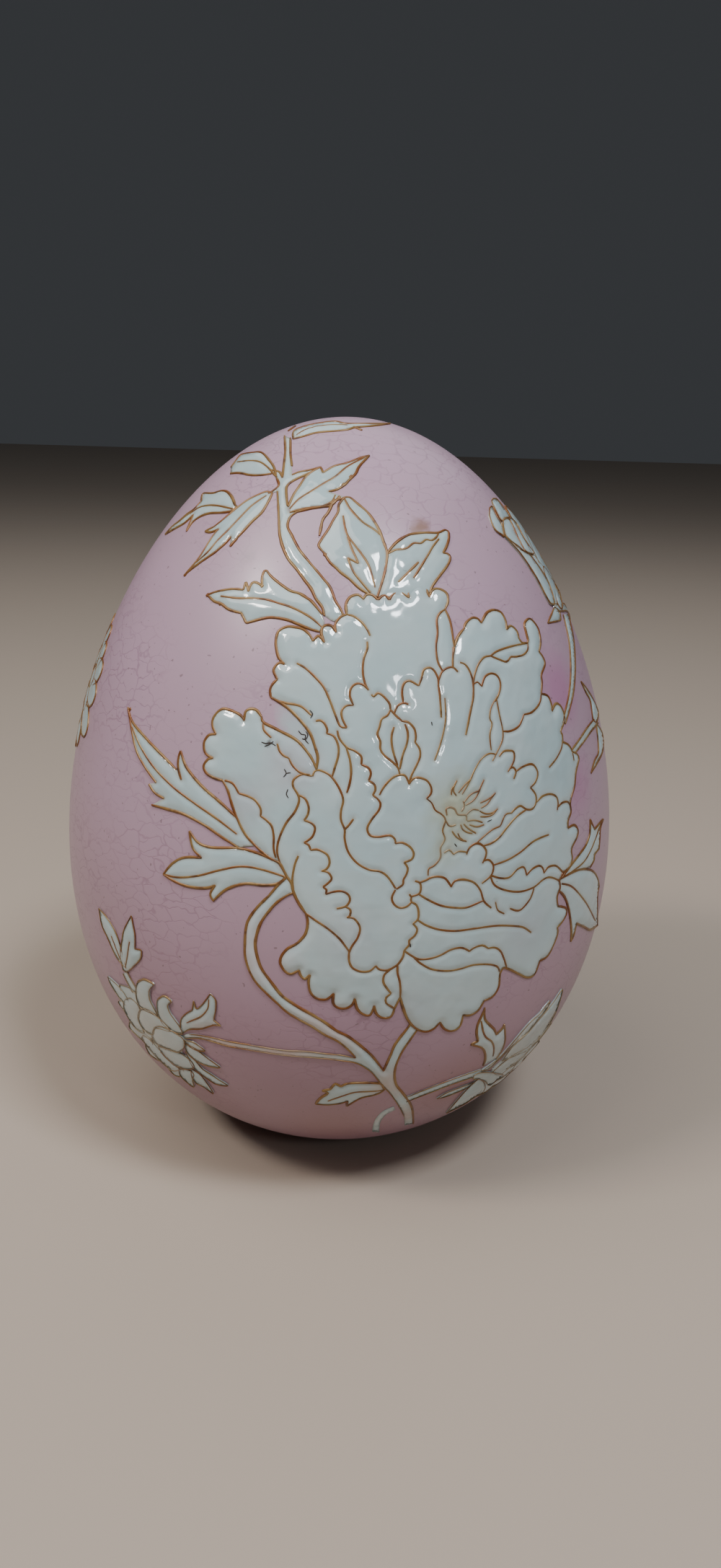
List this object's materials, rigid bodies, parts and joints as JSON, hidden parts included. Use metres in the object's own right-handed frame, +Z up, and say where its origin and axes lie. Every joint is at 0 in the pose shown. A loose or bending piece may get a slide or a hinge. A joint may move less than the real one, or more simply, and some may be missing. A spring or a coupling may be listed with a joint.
{
  "type": "decorative egg",
  "caption": "Glazed ceramic egg with raised white peony and leafy sprays outlined in gold on a pink ground, standing on a small flat foot.",
  "frame": {"origin": "centre of the small flat foot under the egg", "axes": "+Z up along the egg's long axis, the large peony faces -Y"},
  "size_m": [0.1146, 0.1156, 0.15],
  "materials": {
    "glaze": "low gloss"
  },
  "bodies": {
    "root": {"egg": "glaze"}
  },
  "joints": []
}
